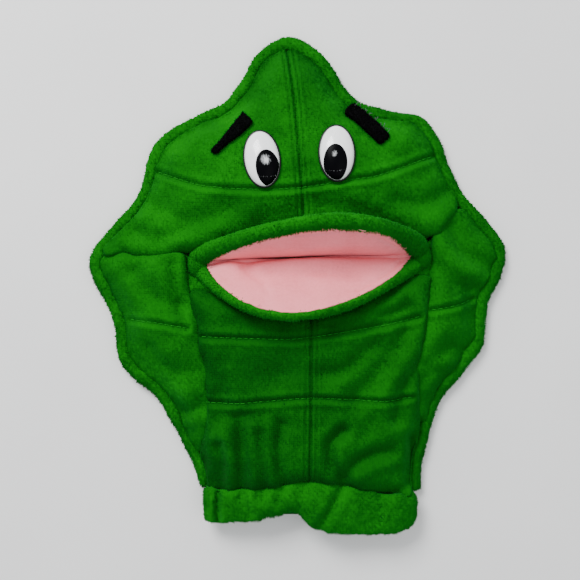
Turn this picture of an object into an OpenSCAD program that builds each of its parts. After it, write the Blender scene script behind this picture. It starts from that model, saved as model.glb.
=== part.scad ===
// Moving mouth hand puppet: a padded leaf of green plush, open at the cuff for a hand,
// with a boarded pink mouth whose two halves turn on one cloth fold.
// It lies on its back: +X is the viewer's right, +Y runs to the leaf's tip, +Z is up.

/* [Leaf] */
// Width of the stitched flange round the leaf
flange_w = 8; // [7:0.5:9]
// Thickness of the flange
flange_t = 6.4; // [5.6:0.2:6.8]
// Height of the front's edge seam above the surface it lies on
seam_z = 8; // [7.6:0.2:9]
// How far the front rises from its edge seam to its middle
dome_h = 16; // [12:1:18]
// How far each padded panel swells between its seams
puff_h = 4; // [2:0.5:5]
// Thickness of the plush cloth with its pile
plush_t = 2; // [1.5:0.25:2.5]
// Thickness of the padding behind the plush
pad_t = 2.2; // [1.5:0.1:2.4]

/* [Cuff] */
// Height of the cuff as it lies
cuff_h = 25; // [22:1:28]
// Thickness of the cuff's folded band
cuff_wall = 4; // [3:0.5:4.5]
// Thickness of the lining cloth
lining_t = 0.8; // [0.6:0.1:1]

/* [Mouth] */
// Half of the mouth's width between its corners
mouth_a = 63; // [60:1:64]
// Depth of each half of the mouth, from the fold to its edge
mouth_b = 42; // [38:1:43]
// Height of the mouth's fold above the surface
fold_z = 16; // [15:0.5:17]
// Angle of the upper half from upright, towards the tip
upper_angle = 23; // [18:1:26]
// Angle of the lower half from upright, towards the cuff
lower_angle = 46; // [42:1:48]
// Thickness of the upper lip
upper_lip_t = 8.5; // [8:0.5:10]
// Thickness of the lower lip
lower_lip_t = 6.5; // [6:0.5:8]
// Thickness of the pink mouth cloth
mouth_cloth_t = 1.2; // [0.8:0.1:1.4]
// Thickness of the stiff board behind each half
board_t = 2; // [1.5:0.25:2]

/* [Face] */
// Width of an eye
eye_w = 21; // [19:1:23]
// Height of an eye
eye_l = 34; // [31:1:36]
// Rise of an eye's dome
eye_h = 6; // [4:0.5:7]
// Thickness of a brow
brow_t = 2.5; // [2:0.25:3]

/* [Hidden] */

green = "forestgreen";
pink = "lightpink";
gap = 0.2;            // clear space kept between two pieces that touch
steps = 3;            // straight pieces in each span of a curved outline
back_t = 2;           // thickness of the back's plush
back_pad_t = 1.8;     // thickness of the back's padding
mouth_x = 7;          // middle of the mouth
mouth_y = 16;
mouth_tilt = 2;       // the mouth's turn in the plane of the leaf, in degrees
fold_r = 1.5;         // radius of the rolled cloth at the mouth's fold
// How each half's edge differs from an ellipse: how pointed it is, how far its fullest part lies to one side,
// and its depth as a share of mouth_b.
upper_form = [1.4, 0.34, 0.95];
lower_form = [1.5, -0.24, 1];
post_r = 2.2;         // radius of an eye's post
eye_left_at = [-21.5, 76];
eye_right_at = [23.5, 79.5];
eye_left_tilt = 8;    // each eye's lean to the left, in degrees
eye_right_tilt = 1;
foot_y = -122;        // where the leaf meets the cuff

// Outline of the leaf, from the cuff's left side up over the tip and down to its right side.
leaf_points = [
    [-61, -122], [-67, -107], [-77, -88], [-88, -69], [-103, -57], [-112, -45], [-114, -25], [-121, -8],
    [-130, 10], [-127, 23], [-112, 41], [-99, 58], [-93, 80], [-84, 94], [-62, 107], [-46, 114], [-35, 128],
    [-26, 144], [-8, 155], [8, 150], [20, 139], [29, 124], [39, 114], [60, 109], [78, 105], [88, 91],
    [96, 71], [106, 54], [122, 36], [130, 22], [127, 6], [118, -12], [116, -36], [104, -53], [90, -70],
    [83, -89], [78, -107], [76, -122]];
foot_left_i = 1;      // the leaf points where the seams meet the flange
cheek_left_i = 9;
tip_i = 18;
cheek_right_i = 27;
foot_right_i = 35;

// Seams inside the leaf, each as the few points it bends at.
mid_top = [[-6.7, 147], [-2, 112], [1, 78], [3, 46]];
mid_low = [[8, -30], [8, -75], [8, -122]];
lip_left = [[3, 46], [-30, 44], [-50, 39], [-63, 31], [-71, 21]];
lip_right = [[3, 46], [40, 47], [62, 43], [75, 37], [84, 31]];
cheek_left = [[-71, 21], [-90, 18], [-110, 22]];
cheek_right = [[84, 31], [92, 40], [98, 46]];
side_left = [[-71, 21], [-67, -3], [-62, -20], [-57, -51], [-54, -76]];
side_right = [[84, 31], [81, 4], [79, -14], [76, -33], [73, -60]];
throat_left = [[8, -30], [-25, -26], [-45, -18], [-58, -8], [-67, -3]];
throat_right = [[8, -30], [40, -26], [60, -17], [73, -4], [81, 4]];

// The cuff's edge seen from above, its free rim hitched up on the left.
cuff_points = [
    [-61, -122.4], [-61, -145], [-55, -149], [-36, -148], [-10, -145], [3, -143], [7, -150], [16, -154],
    [36, -155], [60, -155], [72, -151], [76, -141], [76, -122.4]];

// One point of the smooth curve through p1 and p2.
function bend(p0, p1, p2, p3, t) =
    (2 * p1 + (p2 - p0) * t + (2 * p0 - 5 * p1 + 4 * p2 - p3) * t * t
     + (3 * p1 - p0 - 3 * p2 + p3) * t * t * t) / 2;

// The smooth open curve through a list of points.
function curve(p, n = steps) = let (m = len(p) - 1) concat(
    [for (i = [0:m - 1]) for (k = [0:n - 1])
        bend(p[max(i - 1, 0)], p[i], p[i + 1], p[min(i + 2, m)], k / n)],
    [p[m]]);

function back_to_front(p) = [for (i = [len(p) - 1:-1:0]) p[i]];
function part_of(p, i, j) = [for (k = [i:j]) p[k]];

// A clockwise curve moved d inwards, or to the right of its run if it is open.
function inset(p, d, closed = false) = let (m = len(p)) [for (i = [0:m - 1]) let (
    before = closed ? p[(i + m - 1) % m] : p[max(i - 1, 0)],
    after = closed ? p[(i + 1) % m] : p[min(i + 1, m - 1)],
    run = (after - before) / norm(after - before)) p[i] + d * [run.y, -run.x]];

function line_gap(p, a, b) = let (ab = b - a, t = max(0, min(1, ((p - a) * ab) / (ab * ab)))) norm(p - a - t * ab);
function gap_to(p, line, closed = false) = let (m = len(line)) min([for (i = [0:m - (closed ? 1 : 2)])
    line_gap(p, line[i], line[(i + 1) % m])]);

leaf_edge = curve(leaf_points);
leaf_in = let (e = inset(leaf_edge, flange_w), m = len(e) - 1)
    concat([[e[0].x, foot_y]], part_of(e, 1, m - 1), [[e[m].x, foot_y]]);
cuff_left = part_of(leaf_in, 0, foot_left_i * steps);
from_cuff = part_of(leaf_in, foot_left_i * steps, cheek_left_i * steps);
over_left = part_of(leaf_in, cheek_left_i * steps, tip_i * steps);
over_right = part_of(leaf_in, tip_i * steps, cheek_right_i * steps);
to_cuff = part_of(leaf_in, cheek_right_i * steps, foot_right_i * steps);
cuff_right = part_of(leaf_in, foot_right_i * steps, len(leaf_in) - 1);
seam_left = curve(concat(side_left, [cuff_left[len(cuff_left) - 1]]));
seam_right = curve(concat(side_right, [cuff_right[0]]));

// Points along the seam of the belly and the cuff.
function along_cuff(places) = [for (x = places) [x, foot_y]];

// Clockwise outline of each front panel.
face_left_edge = concat(over_left, curve(mid_top), curve(lip_left), curve(cheek_left));
face_right_edge = concat(over_right, back_to_front(curve(cheek_right)), back_to_front(curve(lip_right)),
                         back_to_front(curve(mid_top)));
wing_left_edge = concat(from_cuff, back_to_front(curve(cheek_left)), seam_left);
wing_right_edge = concat(to_cuff, back_to_front(seam_right), curve(cheek_right));
belly_left_edge = concat(cuff_left, back_to_front(part_of(seam_left, steps, len(seam_left) - 1)),
                         back_to_front(curve(throat_left)), curve(mid_low), along_cuff([-8, -24, -38, -48]));
belly_right_edge = concat(back_to_front(curve(mid_low)), curve(throat_right),
                          part_of(seam_right, steps, len(seam_right) - 1), cuff_right,
                          along_cuff([62, 54, 40, 24]));

// Each panel swells from a point that sees all of its outline.
face_left_mid = [-45, 74];
face_right_mid = [40, 80];
wing_left_mid = [-84, -22];
wing_right_mid = [92, -16];
belly_left_mid = [-24, -70];
belly_right_mid = [38, -70];

// Rise of the front above its edge seam, by place.
function dome(p) = let (
    across = 1 - pow(p.x / 128, 2),
    along = p.y > 10 ? 1 - pow((p.y - 10) / 165, 2) : 1)
    dome_h * max(0, across) * max(0, along) * (1 - exp(-gap_to(p, leaf_in) / 10));

// Height of a panel's upper side at a point.
function panel_z(p, edge) = seam_z + dome(p) + puff_h * (1 - exp(-gap_to(p, edge, true) / 7));

// How far each ring of a sheet lies from its rim to its middle.
rings_at = [0, 0.06, 0.16, 0.34, 0.58, 0.8];

// A closed sheet between depth and depth + t under a panel's upper side, drawn as rings round its middle.
module sheet(edge, mid, depth, t, shares) {
    raw = inset(edge, gap / 2, true);
    rim = [for (i = [0:len(raw) - 1]) if (norm(raw[i] - raw[(i + 1) % len(raw)]) > 0.4) raw[i]];
    n = len(rim);
    rings = [for (s = shares) [for (p = rim) let (q = p + (mid - p) * s) [q.x, q.y, panel_z(q, edge)]]];
    top = [mid.x, mid.y, panel_z(mid, edge)];
    upper = concat([for (r = rings) for (q = r) q - [0, 0, depth]], [top - [0, 0, depth]]);
    lower = [for (q = upper) q - [0, 0, t]];
    m = len(upper);
    k = len(shares);
    between = [for (j = [0:k - 2]) for (i = [0:n - 1]) let (i2 = (i + 1) % n)
        [[j * n + i, j * n + i2, (j + 1) * n + i2], [j * n + i, (j + 1) * n + i2, (j + 1) * n + i]]];
    cap = [for (i = [0:n - 1]) [[(k - 1) * n + i, (k - 1) * n + (i + 1) % n, m - 1]]];
    tops = [for (pair = concat(between, cap)) for (f = pair) f];
    unders = [for (f = tops) [f[0] + m, f[2] + m, f[1] + m]];
    walls = [for (i = [0:n - 1]) let (i2 = (i + 1) % n) for (f = [[i, i + m, i2 + m], [i, i2 + m, i2]]) f];
    polyhedron(concat(upper, lower), concat(tops, unders, walls));
}

module panel(edge, mid) {
    color(green) sheet(edge, mid, 0, plush_t, rings_at);
}

module padding(edge, mid) {
    color("white") sheet(edge, mid, plush_t + 0.1, pad_t, part_of(rings_at, 1, 5));
}

// A tube of any cross-section along a list of frames, each [place, across, up].
module sweep(section, frames) {
    n = len(section);
    m = len(frames);
    points = [for (f = frames) for (s = section) f[0] + s.x * f[1] + s.y * f[2]];
    sides = [for (j = [0:m - 2]) for (i = [0:n - 1]) let (i2 = (i + 1) % n)
        for (f = [[j * n + i, j * n + i2, (j + 1) * n + i2], [j * n + i, (j + 1) * n + i2, (j + 1) * n + i]]) f];
    ends = [[for (i = [n - 1:-1:0]) i], [for (i = [0:n - 1]) (m - 1) * n + i]];
    polyhedron(points, concat(sides, ends));
}

// A flat shape with round ends, wide along X.
module stadium(w, h) {
    square([w - h, h], center = true);
    for (side = [-1, 1]) translate([side * (w - h) / 2, 0]) circle(d = h, $fn = 48);
}

// The back's outline, d inside the leaf's and straight along the cuff.
function back_outline(d) = let (e = inset(leaf_edge, d), m = len(e) - 1)
    concat([[e[0].x, foot_y]], part_of(e, 1, m - 1), [[e[m].x, foot_y]]);

// The back of the leaf.
module back_panel() {
    color(green) linear_extrude(back_t) polygon(back_outline(flange_w + gap));
}

module back_padding() {
    color("white") translate([0, 0, back_t]) linear_extrude(back_pad_t) polygon(back_outline(flange_w + 3));
}

// The front and back sewn together, turned and stitched through again, all round the leaf.
module edge_flange() {
    inner = flange_w - gap / 2;
    section = [[1.4, 0], [0.4, 0.8], [0, 2.2], [0.4, flange_t - 2], [2.4, flange_t - 0.5], [5, flange_t],
               [inner, flange_t - 1], [inner, 0]];
    across = inset(leaf_edge, 1);
    color(green) sweep(section, [for (i = [0:len(leaf_edge) - 1]) let (e = leaf_edge[i], a = across[i] - e)
        [[e.x, e.y, 0], [a.x, a.y, 0], [0, 0, 1]]]);
}

// Puts its children on the face at a place, square to the cloth there.
module on_face(at, edge, tilt = 0) {
    d = 4;
    z = panel_z(at, edge);
    slope_x = (panel_z(at + [d, 0], edge) - panel_z(at - [d, 0], edge)) / (2 * d);
    slope_y = (panel_z(at + [0, d], edge) - panel_z(at - [0, d], edge)) / (2 * d);
    translate([at.x, at.y, z]) rotate([atan(slope_y), -atan(slope_x), tilt]) children();
}

module eye_hole(at, edge) {
    on_face(at, edge) cylinder(r = post_r + gap, h = 60, center = true, $fn = 32);
}

module face_left() {
    difference() {
        panel(face_left_edge, face_left_mid);
        eye_hole(eye_left_at, face_left_edge);
    }
}

module face_right() {
    difference() {
        panel(face_right_edge, face_right_mid);
        eye_hole(eye_right_at, face_right_edge);
    }
}

module face_padding_left() {
    difference() {
        padding(face_left_edge, face_left_mid);
        eye_hole(eye_left_at, face_left_edge);
    }
}

module face_padding_right() {
    difference() {
        padding(face_right_edge, face_right_mid);
        eye_hole(eye_right_at, face_right_edge);
    }
}

module wing_left() {
    panel(wing_left_edge, wing_left_mid);
}

module wing_right() {
    panel(wing_right_edge, wing_right_mid);
}

module belly_left() {
    panel(belly_left_edge, belly_left_mid);
}

module belly_right() {
    panel(belly_right_edge, belly_right_mid);
}

module wing_padding_left() {
    padding(wing_left_edge, wing_left_mid);
}

module wing_padding_right() {
    padding(wing_right_edge, wing_right_mid);
}

module belly_padding_left() {
    padding(belly_left_edge, belly_left_mid);
}

module belly_padding_right() {
    padding(belly_right_edge, belly_right_mid);
}

// A pinch of loose fill that keeps the tip of the leaf full.
module tip_stuffing() {
    color("ivory") hull() {
        translate([-6, 132, 6.4]) sphere(r = 2.3, $fn = 16);
        for (side = [-1, 1]) translate([side * 12 - 4, 114, 7.6]) sphere(r = 3.4, $fn = 16);
    }
}

// The folded band round the opening for the hand.
module cuff_band() {
    middle = 7.5;
    w = 137;
    color(green) intersection() {
        translate([middle, -110, cuff_h / 2]) rotate([90, 0, 0]) linear_extrude(60) difference() {
            stadium(w, cuff_h);
            stadium(w - 2 * cuff_wall, cuff_h - 2 * cuff_wall);
        }
        translate([0, 0, -1]) linear_extrude(cuff_h + 2) polygon(cuff_points);
    }
}

// The smooth cloth sleeve that the hand slides through.
module hand_lining() {
    h = 12.4;
    w = 92;
    color("seagreen") translate([8, -32, back_t + back_pad_t + gap + h / 2]) rotate([90, 0, 0])
        linear_extrude(108) difference() {
            stadium(w, h);
            stadium(w - 2 * lining_t, h - 2 * lining_t);
        }
}

// The upper part of an ellipsoid of a given length, width and rise, on z = 0.
module dome_cap(w, l, h) {
    intersection() {
        scale([w, l, 2 * h]) sphere(d = 1, $fn = 48);
        translate([-w, -l, 0]) cube([2 * w, 2 * l, 2 * h]);
    }
}

// The pupil's outline on the eye, low and towards the middle.
module pupil_prism(side) {
    translate([side * 2.8, -7.4, 0]) scale([14, 21, 1]) cylinder(d = 1, h = 20, $fn = 40);
}

module eye_white(at, edge, side, tilt) {
    color("white") on_face(at, edge, tilt) translate([0, 0, 1.4]) difference() {
        dome_cap(eye_w, eye_l, eye_h);
        intersection() {
            pupil_prism(side);
            difference() {
                cube(60, center = true);
                scale([0.94, 0.963, 0.9]) dome_cap(eye_w, eye_l, eye_h);
            }
        }
    }
}

module pupil(at, edge, side, tilt) {
    color("black") on_face(at, edge, tilt) translate([0, 0, 1.4]) intersection() {
        pupil_prism(side);
        difference() {
            dome_cap(eye_w, eye_l, eye_h);
            scale([0.948, 0.968, 0.91]) dome_cap(eye_w, eye_l, eye_h);
        }
    }
}

// The black plate behind an eye, with the post that goes through the cloth.
module eye_post(at, edge, tilt) {
    plate = 1.1;
    color("black") on_face(at, edge, tilt) translate([0, 0, 0.2]) {
        scale([eye_w + 1.2, eye_l + 1.2, 1]) cylinder(d = 1, h = plate, $fn = 48);
        translate([0, 0, -9]) cylinder(r = post_r, h = 9.5, $fn = 32);
    }
}

// The lock washer pushed onto the post from inside.
module eye_washer(at, edge) {
    color("gainsboro") on_face(at, edge) translate([0, 0, -plush_t - pad_t - 2.4]) difference() {
        cylinder(r = 7.5, h = 1.4, $fn = 48);
        translate([0, 0, -1]) cylinder(r = post_r, h = 4, $fn = 32);
    }
}

module eye_white_left() {
    eye_white(eye_left_at, face_left_edge, 1, eye_left_tilt);
}

module eye_white_right() {
    eye_white(eye_right_at, face_right_edge, -0.5, eye_right_tilt);
}

module pupil_left() {
    pupil(eye_left_at, face_left_edge, 1, eye_left_tilt);
}

module pupil_right() {
    pupil(eye_right_at, face_right_edge, -0.5, eye_right_tilt);
}

module eye_post_left() {
    eye_post(eye_left_at, face_left_edge, eye_left_tilt);
}

module eye_post_right() {
    eye_post(eye_right_at, face_right_edge, eye_right_tilt);
}

module eye_washer_left() {
    eye_washer(eye_left_at, face_left_edge);
}

module eye_washer_right() {
    eye_washer(eye_right_at, face_right_edge);
}

// A strip of black pile that follows the face from a to b, its width going from wa to wb.
module brow(a, b, wa, wb, edge) {
    spans = 4;
    run = (b - a) / norm(b - a);
    color("black") sweep([[-0.5, 0], [-0.5, 0.8], [-0.3, 1], [0.3, 1], [0.5, 0.8], [0.5, 0]],
        [for (i = [0:spans]) let (s = i / spans, p = a + (b - a) * s, across = (wa + (wb - wa) * s) * [run.y, -run.x],
            z1 = panel_z(p - across / 2, edge), z2 = panel_z(p + across / 2, edge))
            [[p.x, p.y, (z1 + z2) / 2 + 1], [across.x, across.y, z2 - z1], [0, 0, brow_t]]]);
}

module brow_left() {
    brow([-51, 83], [-31.5, 104], 5.5, 8, face_left_edge);
}

module brow_right() {
    brow([32.5, 112], [51.5, 92], 9, 9.5, face_right_edge);
}

// Places one half of the mouth: its fold on the joint's axis, its inner side at z = 0, its outside below that.
module upper_place() {
    translate([mouth_x, mouth_y, fold_z]) rotate([0, 0, mouth_tilt]) rotate([90 - upper_angle, 0, 0]) children();
}

module lower_place() {
    translate([mouth_x, mouth_y, fold_z]) rotate([0, 0, mouth_tilt]) mirror([0, 1, 0])
        rotate([90 - lower_angle, 0, 0]) children();
}

// A point of the mouth's edge, d inside it.
function mouth_rim(angle, form, d = 0) =
    [(mouth_a - d) * cos(angle), (mouth_b - d) * form[2] * pow(sin(angle), form[0]) * (1 + form[1] * cos(angle))];

// One half of the mouth's plan, from near the fold to its edge, d inside it.
module half_plan(form, d, start) {
    intersection() {
        polygon([for (angle = [0:6:180]) mouth_rim(angle, form, d)]);
        translate([-100, start]) square([200, 100]);
    }
}

module palate(form) {
    color(pink) translate([0, 0, -mouth_cloth_t]) linear_extrude(mouth_cloth_t) half_plan(form, 0.2, fold_r + 0.4);
}

module board(form) {
    color("burlywood") translate([0, 0, -mouth_cloth_t - 0.1 - board_t]) linear_extrude(board_t) half_plan(form, 1.5, 4);
}

// The rolled plush lip round one half of the mouth, fuller at its corners and square to them.
module lip(form, t) {
    under = -(mouth_cloth_t + board_t + 0.4);
    section = [[0.2, 0], [2, -0.8], [3, -3], [2.8, 1 - t], [0.5, -t], [-5, -t], [-9, -t + 1.2], [-10, under - 0.6],
               [-9.4, under], [0.2, under]];
    color(green) sweep(section, [for (angle = [2:8:178]) let (
        here = mouth_rim(angle, form),
        run = mouth_rim(min(angle + 2, 180), form) - mouth_rim(max(angle - 2, 0), form),
        aside = [run.y, -run.x] / norm(run) + [sign(cos(angle)) * 4 * pow(cos(angle), 8), 0],
        out = aside / norm(aside),
        swell = 6 * pow(abs(cos(angle)), 6))
        [[here.x + sign(cos(angle)) * swell, here.y, 0], [out.x, out.y, 0] * (1 + swell / 13), [0, 0, 1]]]);
}

// A cloth loop behind the board that holds the fingers or the thumb.
module pocket(w, rise, aside) {
    start = 5;
    depth = 17;
    top = -(mouth_cloth_t + board_t + 0.5);
    color("seagreen") translate([aside, start + depth, top - rise / 2]) rotate([90, 0, 0]) linear_extrude(depth)
        difference() {
            stadium(w, rise);
            stadium(w - 2 * lining_t, rise - 2 * lining_t);
        }
}

module mouth_fold() {
    color(pink) translate([mouth_x, mouth_y, fold_z]) rotate([0, 0, mouth_tilt]) rotate([0, 90, 0])
        cylinder(r = fold_r, h = 2 * mouth_a - 4, center = true, $fn = 32);
}

module upper_palate() {
    upper_place() palate(upper_form);
}

module upper_board() {
    upper_place() board(upper_form);
}

module upper_lip() {
    upper_place() lip(upper_form, upper_lip_t);
}

module finger_pocket() {
    upper_place() pocket(60, 10, 9);
}

module lower_palate() {
    lower_place() palate(lower_form);
}

module lower_board() {
    lower_place() board(lower_form);
}

module lower_lip() {
    lower_place() lip(lower_form, lower_lip_t);
}

module thumb_pocket() {
    lower_place() pocket(34, 12, 0);
}

back_panel();
back_padding();
edge_flange();
face_left();
face_right();
wing_left();
wing_right();
belly_left();
belly_right();
face_padding_left();
face_padding_right();
wing_padding_left();
wing_padding_right();
belly_padding_left();
belly_padding_right();
tip_stuffing();
cuff_band();
hand_lining();
eye_white_left();
eye_white_right();
pupil_left();
pupil_right();
eye_post_left();
eye_post_right();
eye_washer_left();
eye_washer_right();
brow_left();
brow_right();
mouth_fold();
upper_palate();
upper_board();
upper_lip();
finger_pocket();
lower_palate();
lower_board();
lower_lip();
thumb_pocket();
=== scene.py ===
import math

import bmesh
import bpy
import numpy as np
from mathutils import Matrix, Vector


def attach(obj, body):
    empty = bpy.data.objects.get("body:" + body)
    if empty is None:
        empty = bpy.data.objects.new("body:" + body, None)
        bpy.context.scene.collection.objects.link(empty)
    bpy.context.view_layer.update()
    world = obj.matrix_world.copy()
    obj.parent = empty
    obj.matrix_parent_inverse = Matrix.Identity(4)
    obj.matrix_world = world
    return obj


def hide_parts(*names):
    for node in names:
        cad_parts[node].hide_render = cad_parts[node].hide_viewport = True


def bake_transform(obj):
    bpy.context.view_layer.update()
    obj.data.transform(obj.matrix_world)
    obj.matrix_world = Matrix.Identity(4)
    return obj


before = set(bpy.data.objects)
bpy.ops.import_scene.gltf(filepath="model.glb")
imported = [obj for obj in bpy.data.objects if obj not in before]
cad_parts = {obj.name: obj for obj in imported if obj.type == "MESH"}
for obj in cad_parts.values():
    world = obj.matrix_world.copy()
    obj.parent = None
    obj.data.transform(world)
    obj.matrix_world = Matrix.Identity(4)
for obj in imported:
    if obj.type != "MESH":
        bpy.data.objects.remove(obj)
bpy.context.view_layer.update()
scene = bpy.context.scene

# ---------------------------------------------------------------------------------------------
# The table and the light. The puppet lies on its back on a plain pale table, seen from straight
# above, under one broad soft light that stands a little towards the tip and to the left, with a
# weak one across from it.
MM = 0.001
eye_height = 600 * MM
view_width = 365 * MM
camera = bpy.data.cameras.new("camera")
camera.sensor_width = 36
camera.lens = 36 * eye_height / view_width
viewer = bpy.data.objects.new("camera", camera)
viewer.location = (-4.7 * MM, -2.8 * MM, eye_height)
scene.collection.objects.link(viewer)
scene.camera = viewer


def softbox(name, place, size, watts):
    """A square lamp that shines on the middle of the table."""
    light = bpy.data.lights.new(name, "AREA")
    light.shape = "SQUARE"
    light.size = size
    light.energy = watts
    box = bpy.data.objects.new(name, light)
    box.location = place
    box.rotation_euler = (-Vector(place)).to_track_quat("-Z", "Y").to_euler()
    scene.collection.objects.link(box)


softbox("key", (-0.50, 0.80, 1.00), 0.6, 27)
softbox("fill", (0.7, -0.4, 1.3), 1.2, 4)
world = bpy.data.worlds.new("room")
world.use_nodes = True
world.node_tree.nodes["Background"].inputs["Color"].default_value = (0.95, 0.97, 1.0, 1)
world.node_tree.nodes["Background"].inputs["Strength"].default_value = 0.84
scene.world = world


class Wire:
    """A shader socket that adds Math nodes when it is used in sums."""

    def __init__(self, finish, socket):
        self.finish = finish
        self.socket = socket

    def sum(self, operation, other):
        return self.finish.node("ShaderNodeMath", {"operation": operation}, {0: self, 1: other})

    def __add__(self, other):
        return self.sum("ADD", other)

    def __mul__(self, other):
        return self.sum("MULTIPLY", other)

    def __sub__(self, other):
        return self.sum("SUBTRACT", other)


class Finish:
    """A material on one Principled shader, whose sockets it sets by name."""

    def __init__(self, name, **fixed):
        self.material = bpy.data.materials.new(name)
        self.material.use_nodes = True
        self.tree = self.material.node_tree
        self.shader = self.tree.nodes["Principled BSDF"]
        for socket, value in fixed.items():
            self.shader.inputs[socket.replace("_", " ")].default_value = value
        self.place = self.node("ShaderNodeTexCoord", {}, {}, "Object")

    def node(self, kind, settings, sockets, out=0):
        """Adds a node with these settings and inputs, and gives the wire from its output."""
        made = self.tree.nodes.new(kind)
        stops = settings.get("stops")
        for key, value in settings.items():
            if key != "stops":
                setattr(made, key, value)
        if stops:
            ramp = made.color_ramp
            while len(ramp.elements) < len(stops):
                ramp.elements.new(0.5)
            for element, (position, colour) in zip(ramp.elements, stops):
                element.position = position
                element.color = (*colour, 1)
        for key, value in sockets.items():
            if isinstance(value, Wire):
                self.tree.links.new(value.socket, made.inputs[key])
            else:
                made.inputs[key].default_value = value
        return Wire(self, made.outputs[out])

    def noise(self, scale, detail=2.0, vector=None, roughness=0.5, distortion=0.0):
        sockets = {"Vector": vector or self.place, "Scale": scale, "Detail": detail,
                   "Roughness": roughness, "Distortion": distortion}
        return self.node("ShaderNodeTexNoise", {}, sockets, "Fac")

    def ramp(self, value, stops):
        return self.node("ShaderNodeValToRGB", {"stops": stops}, {"Fac": value}, "Color")

    def attribute(self, name):
        return self.node("ShaderNodeAttribute", {"attribute_name": name}, {}, "Fac")

    def give(self, socket, value):
        self.tree.links.new(value.socket, self.shader.inputs[socket])

    def bump(self, height, strength, distance):
        sockets = {"Height": height, "Strength": strength, "Distance": distance}
        self.give("Normal", self.node("ShaderNodeBump", {}, sockets, "Normal"))


table_top = Finish("table_top", Roughness=0.65)
speck = table_top.noise(9, 4)
table_top.give("Base Color", table_top.ramp(speck, [(0.2, (0.75, 0.75, 0.745)),
                                                    (0.8, (0.81, 0.81, 0.80))]))
top = bmesh.new()
bmesh.ops.create_grid(top, x_segments=2, y_segments=2, size=3)
table_mesh = bpy.data.meshes.new("table")
top.to_mesh(table_mesh)
top.free()
table_mesh.materials.append(table_top.material)
table = bpy.data.objects.new("table", table_mesh)
scene.collection.objects.link(table)

# ---------------------------------------------------------------------------------------------
# The front plush. Face, wings and belly are cut from short green pile cloth, padded, sewn along
# the cheek and side seams, then stitched across in shallow quilting lines and creased by use.
SEAM_Z = 8
DOME_H = 16
FLANGE_W = 8
PAD_T = 6.5
FOOT_Y = -122
leaf_points = [
    (-61, -122), (-67, -107), (-77, -88), (-88, -69), (-103, -57), (-112, -45), (-114, -25), (-121, -8),
    (-130, 10), (-127, 23), (-112, 41), (-99, 58), (-93, 80), (-84, 94), (-62, 107), (-46, 114), (-35, 128),
    (-26, 144), (-8, 155), (8, 150), (20, 139), (29, 124), (39, 114), (60, 109), (78, 105), (88, 91),
    (96, 71), (106, 54), (122, 36), (130, 22), (127, 6), (118, -12), (116, -36), (104, -53), (90, -70),
    (83, -89), (78, -107), (76, -122)]
SPANS = 6


def smooth_line(points, spans=SPANS):
    """The smooth open line through a few points."""
    p = np.array(points, float)
    p = np.vstack([p[:1], p, p[-1:]])
    t = np.arange(spans)[:, None] / spans
    parts = [(2 * b + (c - a) * t + (2 * a - 5 * b + 4 * c - d) * t**2 + (3 * b - a - 3 * c + d) * t**3) / 2
             for a, b, c, d in zip(p, p[1:], p[2:], p[3:])]
    return np.vstack(parts + [p[-1:]])


def inset(line, d):
    """A line moved d to the right of its run."""
    run = np.gradient(line, axis=0)
    run /= np.linalg.norm(run, axis=1)[:, None]
    return line + d * np.stack([run[:, 1], -run[:, 0]], axis=1)


def gap_to(xy, line):
    """How far each point is from a line."""
    nearest = np.full(len(xy), 1e9)
    for a, b in zip(line, line[1:]):
        run = b - a
        t = np.clip(((xy - a) @ run) / (run @ run + 1e-9), 0, 1)
        nearest = np.minimum(nearest, np.linalg.norm(xy - a - t[:, None] * run, axis=1))
    return nearest


leaf_edge = smooth_line(leaf_points)
leaf_in = inset(leaf_edge, FLANGE_W)
leaf_in[0, 1] = leaf_in[-1, 1] = FOOT_Y
foot_l, cheek_l, cheek_r, foot_r = 1 * SPANS, 9 * SPANS, 27 * SPANS, 35 * SPANS


def front_z(xy):
    """Height of the front between its seams, by place."""
    across = np.clip(1 - (xy[:, 0] / 128) ** 2, 0, 1)
    along = np.where(xy[:, 1] > 10, 1 - ((xy[:, 1] - 10) / 165) ** 2, 1)
    return SEAM_Z + DOME_H * across * along * (1 - np.exp(-gap_to(xy, leaf_in) / 10))


def wobble(xy, size, seed):
    """Gentle uneven ups and downs of about this size across, from -1 to 1."""
    draw = np.random.default_rng(seed)
    total = np.zeros(len(xy))
    for turn in range(7):
        angle = draw.uniform(0, math.tau)
        reach = size * draw.uniform(0.7, 1.6)
        phase = draw.uniform(0, math.tau)
        run = xy[:, 0] * math.cos(angle) + xy[:, 1] * math.sin(angle)
        total += np.sin(run * math.tau / reach + phase)
    return total / 4


def get_points(obj):
    """A piece's points, in millimetres."""
    points = np.empty(len(obj.data.vertices) * 3, np.float32)
    obj.data.vertices.foreach_get("co", points)
    return points.reshape(-1, 3).astype(float) / MM


def set_points(obj, points):
    """Moves a piece's points, given in millimetres."""
    obj.data.vertices.foreach_set("co", (points * MM).astype(np.float32).ravel())
    obj.data.update()


def get_normals(obj):
    """The way that a piece's surface faces at each of its points."""
    normals = np.empty(len(obj.data.vertices) * 3, np.float32)
    obj.data.vertex_normals.foreach_get("vector", normals)
    return normals.reshape(-1, 3).astype(float)


def from_bmesh(name, bm):
    """A new piece from a bmesh, which is used up."""
    mesh = bpy.data.meshes.new(name)
    bm.to_mesh(mesh)
    bm.free()
    obj = bpy.data.objects.new(name, mesh)
    scene.collection.objects.link(obj)
    return obj


def shade_smooth(obj):
    obj.data.polygons.foreach_set("use_smooth", [True] * len(obj.data.polygons))


def settle(obj):
    """Makes what the modifiers show the mesh itself."""
    graph = bpy.context.evaluated_depsgraph_get()
    mesh = bpy.data.meshes.new_from_object(obj.evaluated_get(graph))
    obj.modifiers.clear()
    obj.data = mesh


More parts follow.
